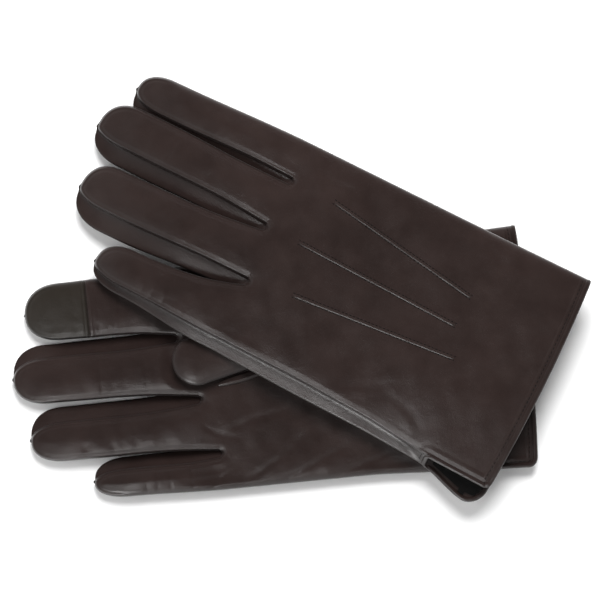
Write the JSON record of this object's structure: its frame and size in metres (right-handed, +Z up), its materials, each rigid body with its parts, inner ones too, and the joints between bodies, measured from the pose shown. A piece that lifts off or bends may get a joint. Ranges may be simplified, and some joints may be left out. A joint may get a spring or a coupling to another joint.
{
  "type": "pair of touchscreen gloves",
  "caption": "Pair of lined dark brown leather touchscreen gloves lying flat, the left back up across the right palm up, with folding fingertips, swinging thumbs and vented bound cuffs.",
  "frame": {"origin": "middle of the pair's bounding box, on the surface that it lies on", "axes": "+X from the right glove's fingertips to its cuff, +Y from the little finger side to the thumb side of the right glove, +Z up"},
  "size_m": [0.2947, 0.2331, 0.0297],
  "materials": {
    "leather": "smooth nappa with a fine grain and a soft sheen",
    "touch_leather": "conductive smooth leather, a little greyer and more matt",
    "lining": "fine soft knit",
    "binding": "folded narrow strip, stitched",
    "stitched_rib": "raised tuck with a row of stitches each side",
    "label": "plain woven tape, blank"
  },
  "bodies": {
    "right_thumb": {"right_thumb": "leather", "right_thumb_lining": "lining"},
    "right_index_tip": {"right_index_touch_pad": "touch_leather", "right_index_tip": "leather", "right_index_tip_lining": "lining"},
    "right_middle_tip": {"right_middle_tip": "leather", "right_middle_tip_lining": "lining"},
    "right_ring_tip": {"right_ring_tip": "leather", "right_ring_tip_lining": "lining"},
    "right_pinky_tip": {"right_pinky_tip": "leather", "right_pinky_tip_lining": "lining"},
    "right_hand": {"right_trank_back": "leather", "right_trank_palm": "leather", "right_fourchette_ring_pinky": "leather", "right_fourchette_middle_ring": "leather", "right_fourchette_index_middle": "leather", "right_hand_lining": "lining", "right_cuff_binding": "binding", "right_vent_binding": "binding", "right_care_label": "label", "right_thumb_gusset": "leather", "right_back_point_1": "stitched_rib", "right_back_point_2": "stitched_rib", "right_back_point_3": "stitched_rib"},
    "left_thumb": {"left_thumb": "leather", "left_thumb_lining": "lining"},
    "left_index_tip": {"left_index_touch_pad": "touch_leather", "left_index_tip": "leather", "left_index_tip_lining": "lining"},
    "left_middle_tip": {"left_middle_tip": "leather", "left_middle_tip_lining": "lining"},
    "left_ring_tip": {"left_ring_tip": "leather", "left_ring_tip_lining": "lining"},
    "left_pinky_tip": {"left_pinky_tip": "leather", "left_pinky_tip_lining": "lining"},
    "left_hand": {"left_trank_back": "leather", "left_trank_palm": "leather", "left_fourchette_ring_pinky": "leather", "left_fourchette_middle_ring": "leather", "left_fourchette_index_middle": "leather", "left_hand_lining": "lining", "left_cuff_binding": "binding", "left_vent_binding": "binding", "left_care_label": "label", "left_thumb_gusset": "leather", "left_back_point_1": "stitched_rib", "left_back_point_2": "stitched_rib", "left_back_point_3": "stitched_rib"}
  },
  "joints": [
    {"name": "right_index_fold", "type": "hinge", "parent": "right_hand", "child": "right_index_tip", "pos_m": [-0.10638, 0.00002, 0.01], "axis": [0, 1, 0], "range_deg": [0, 75]},
    {"name": "right_middle_fold", "type": "hinge", "parent": "right_hand", "child": "right_middle_tip", "pos_m": [-0.09638, -0.03436, 0.01], "axis": [0, 1, 0], "range_deg": [0, 75]},
    {"name": "right_ring_fold", "type": "hinge", "parent": "right_hand", "child": "right_ring_tip", "pos_m": [-0.09338, -0.06549, 0.01], "axis": [0, 1, 0], "range_deg": [0, 75]},
    {"name": "right_pinky_fold", "type": "hinge", "parent": "right_hand", "child": "right_pinky_tip", "pos_m": [-0.07838, -0.09023, 0.01], "axis": [0, 1, 0], "range_deg": [0, 75]},
    {"name": "right_thumb_swing", "type": "hinge", "parent": "right_hand", "child": "right_thumb", "pos_m": [0.00161, -0.01711, 0.01], "axis": [0, 0, -1], "range_deg": [0, 40]},
    {"name": "left_index_fold", "type": "hinge", "parent": "left_hand", "child": "left_index_tip", "pos_m": [-0.03088, 0.08801, 0.029], "axis": [0.524, 0.8517, 0], "range_deg": [0, 60]},
    {"name": "left_middle_fold", "type": "hinge", "parent": "left_hand", "child": "left_middle_tip", "pos_m": [-0.0506, 0.06932, 0.029], "axis": [0.524, 0.8517, 0], "range_deg": [0, 60]},
    {"name": "left_ring_fold", "type": "hinge", "parent": "left_hand", "child": "left_ring_tip", "pos_m": [-0.06245, 0.04241, 0.029], "axis": [0.524, 0.8517, 0], "range_deg": [0, 60]},
    {"name": "left_pinky_fold", "type": "hinge", "parent": "left_hand", "child": "left_pinky_tip", "pos_m": [-0.06756, 0.00931, 0.029], "axis": [0.524, 0.8517, 0], "range_deg": [0, 60]},
    {"name": "left_thumb_swing", "type": "hinge", "parent": "left_hand", "child": "left_thumb", "pos_m": [0.0351, 0.01777, 0.019], "axis": [0, 0, -1], "range_deg": [0, 40]},
    {"name": "left_glove_lift", "type": "slide", "parent": "right_hand", "child": "left_hand", "axis": [0, 0, 1], "range_m": [0, 0.08]}
  ]
}
